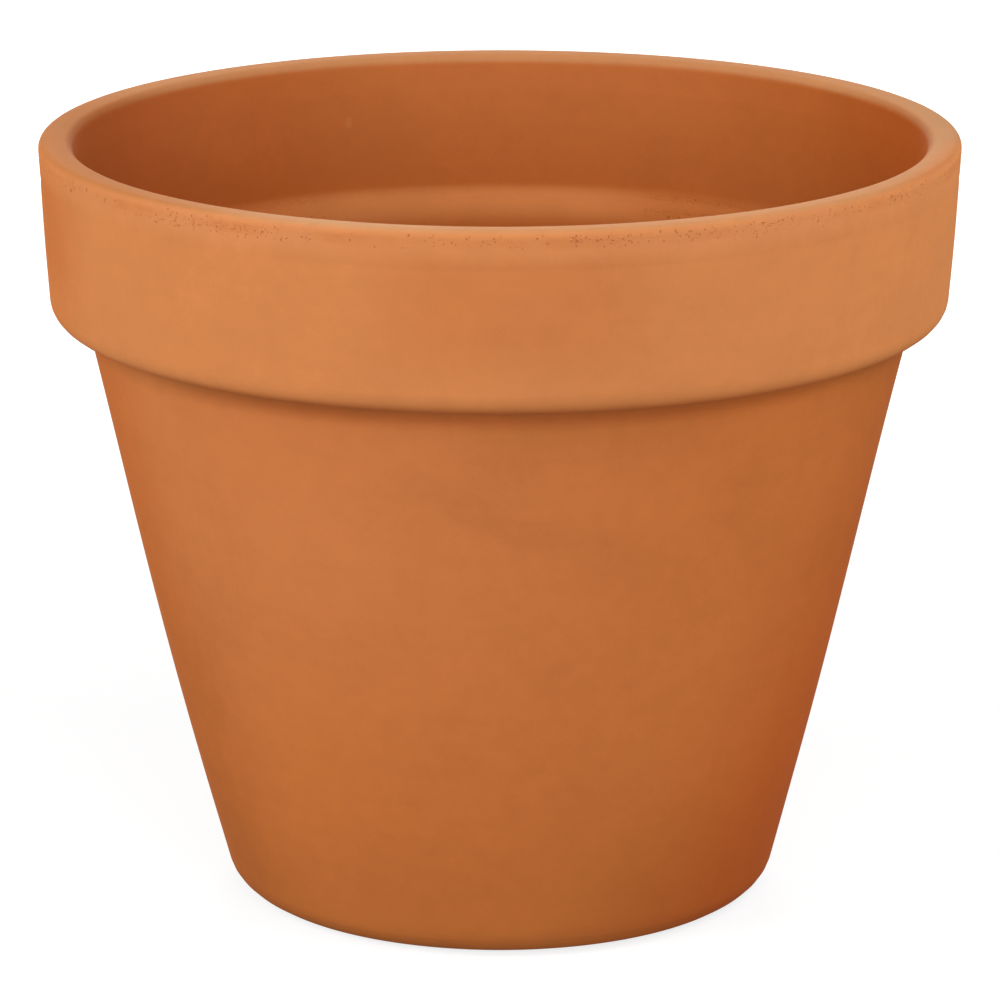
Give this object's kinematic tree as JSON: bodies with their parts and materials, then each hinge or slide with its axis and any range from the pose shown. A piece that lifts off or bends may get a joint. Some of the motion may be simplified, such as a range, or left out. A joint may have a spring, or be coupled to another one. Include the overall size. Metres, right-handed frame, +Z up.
{
  "type": "terracotta pot",
  "caption": "Round tapered flower pot of unglazed terracotta with a thick collar, a flat lip, a stepped wall inside and a drain hole in the floor.",
  "frame": {"origin": "on the ground, in the middle of the pot's foot", "axes": "+Z up along the axis that the pot is turned about, from the foot to the rim; X and Y are level, and the pot is the same all round"},
  "size_m": [0.3048, 0.3048, 0.2563],
  "materials": {
    "terracotta": "matte unglazed fired clay"
  },
  "bodies": {
    "root": {"pot": "terracotta"}
  },
  "joints": []
}
